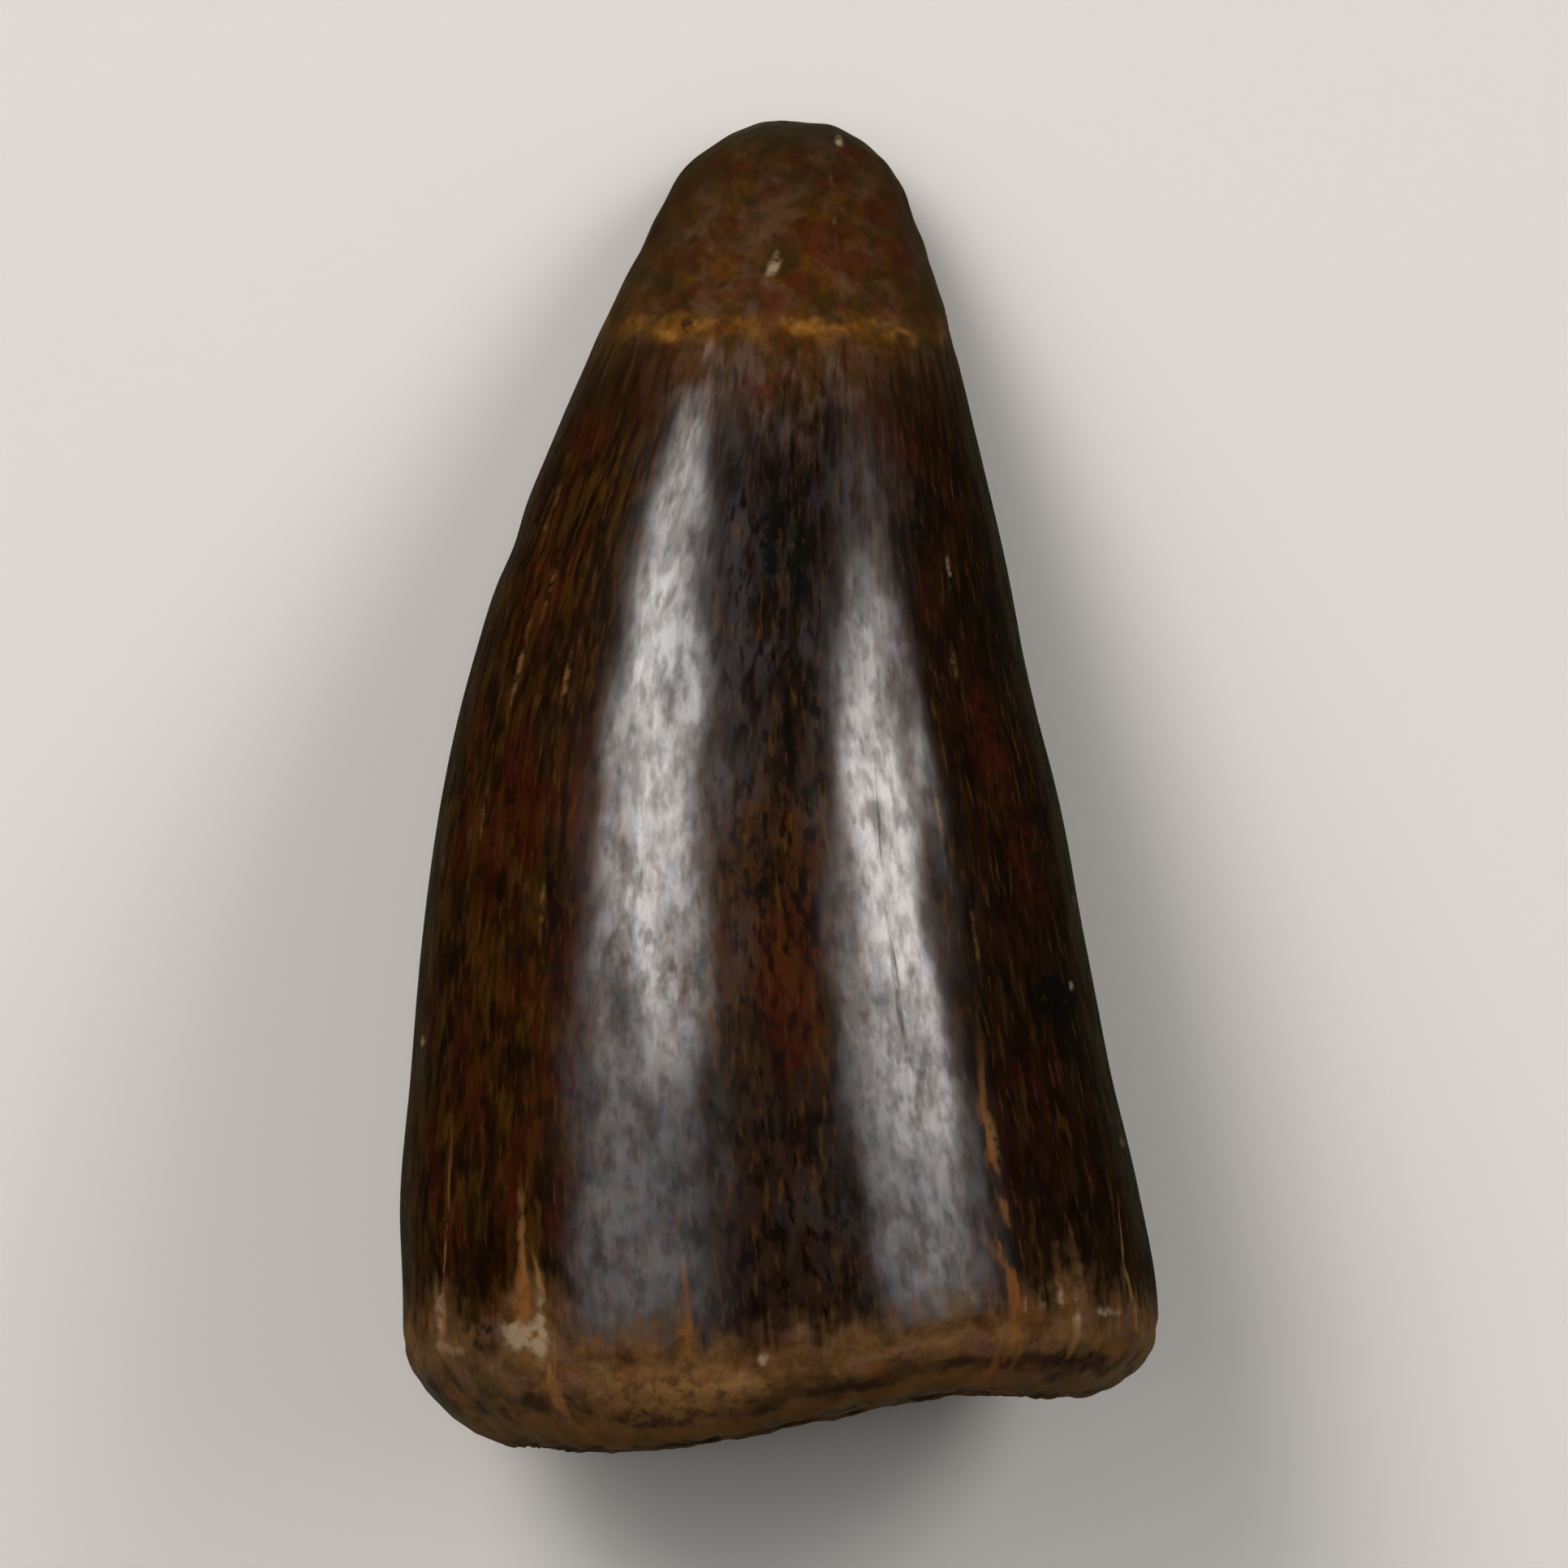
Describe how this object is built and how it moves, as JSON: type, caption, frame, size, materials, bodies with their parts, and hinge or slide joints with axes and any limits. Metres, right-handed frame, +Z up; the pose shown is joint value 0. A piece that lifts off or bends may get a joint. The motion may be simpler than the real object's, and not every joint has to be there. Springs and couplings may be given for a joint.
{
  "type": "fossil crocodile tooth",
  "caption": "Fossil crocodile tooth crown: a curved, tapering cone with a worn blunt tip, low cutting edges, a ragged enamel border and a shallow pulp cavity in its broken base.",
  "frame": {"origin": "on the surface that the tooth lies on, under the middle of its bounding box", "axes": "+Y along the tooth from its broken base to its tip, +Z up through the outer face, away from the surface, and +X to the right as the picture shows the tooth, with its tip at the top"},
  "size_m": [0.0182, 0.032, 0.0142],
  "materials": {
    "fossil_enamel": "polished dark brown fossil enamel, with a mottled matte tip, an ochre growth band near it and a tan, worn root below the enamel"
  },
  "bodies": {
    "root": {"tooth": "fossil_enamel"}
  },
  "joints": []
}
